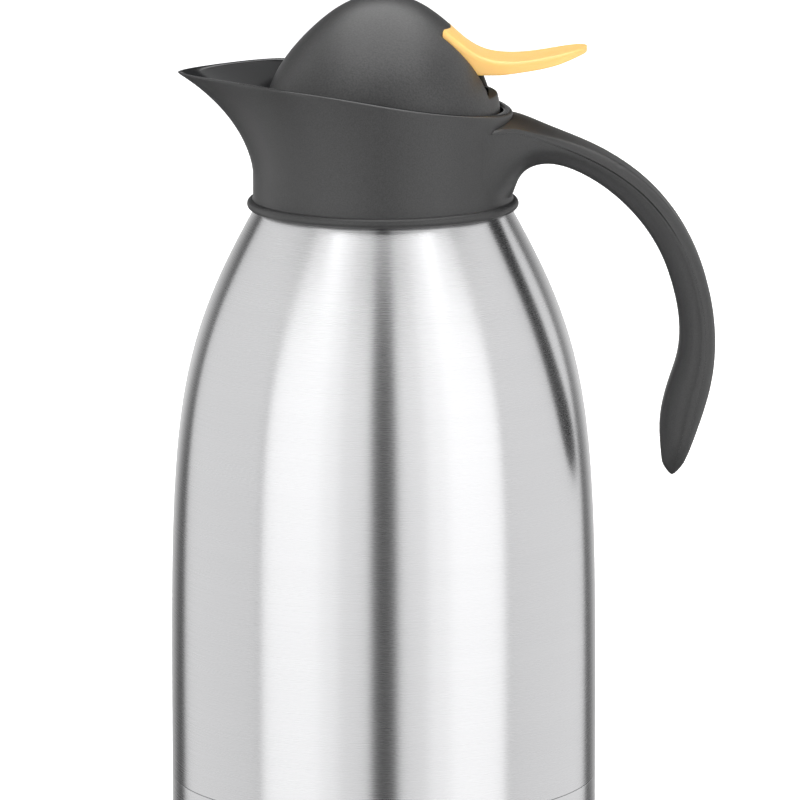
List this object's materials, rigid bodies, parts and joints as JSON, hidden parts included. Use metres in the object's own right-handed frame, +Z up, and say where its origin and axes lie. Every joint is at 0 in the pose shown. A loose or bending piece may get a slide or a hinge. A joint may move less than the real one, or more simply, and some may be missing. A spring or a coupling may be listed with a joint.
{
  "type": "vacuum jug",
  "caption": "Tall double-walled steel vacuum jug with a plastic spout collar, an open bow handle and a domed lid that tips back on a hinge under a thumb lever.",
  "frame": {"origin": "middle of the base pad's resting face, on the jug's own axis", "axes": "+Z up along the jug's axis, -X towards the spout, +X towards the handle and the thumb lever; the jug is the same on both sides of the XZ plane"},
  "size_m": [0.1914, 0.15, 0.2985],
  "materials": {
    "barrel_steel": "fine horizontal brushing",
    "inner_steel": "drawn and electropolished",
    "solder_glass": "fused bead",
    "getter_metal": "sintered",
    "cup_steel": "fine horizontal brushing",
    "pad_rubber": "matte",
    "grey_plastic": "fine grain",
    "cover_plastic": "fine grain",
    "gasket_silicone": "satin",
    "clamp_plastic": "plain",
    "frame_plastic": "plain",
    "pin_steel": "drawn",
    "spring_steel": "drawn wire",
    "dome_plastic": "fine grain",
    "screw_steel": "passivated",
    "amber_plastic": "satin"
  },
  "bodies": {
    "jug": {"outer_shell": "barrel_steel", "inner_vessel": "inner_steel", "mouth_ring": "inner_steel", "inner_base": "inner_steel", "outer_base": "inner_steel", "evacuation_seal": "solder_glass", "getter": "getter_metal", "base_cup": "cup_steel", "base_pad": "pad_rubber", "spout_collar": "grey_plastic", "handle_cover": "cover_plastic", "collar_gasket": "gasket_silicone", "neck_clamp": "clamp_plastic"},
    "lid_unit": {"lid_frame": "frame_plastic", "frame_gasket": "gasket_silicone", "hinge_pin": "pin_steel", "return_spring": "spring_steel"},
    "lid": {"dome_shell": "dome_plastic", "lid_plug": "frame_plastic", "plug_gasket": "gasket_silicone", "plug_screw": "screw_steel", "thumb_lever": "amber_plastic", "lever_screws": "screw_steel"}
  },
  "joints": [
    {"name": "lid_unit_lift", "type": "slide", "parent": "jug", "child": "lid_unit", "axis": [0, 0, 1], "range_m": [0, 0.06]},
    {"name": "lid_hinge", "type": "hinge", "parent": "lid_unit", "child": "lid", "pos_m": [0.0335, 0, 0.261], "axis": [0, 1, 0], "range_deg": [0, 40], "stiffness_Nm_per_rad": 0.2, "springref_deg": -22.92, "deforming": ["return_spring"]}
  ]
}
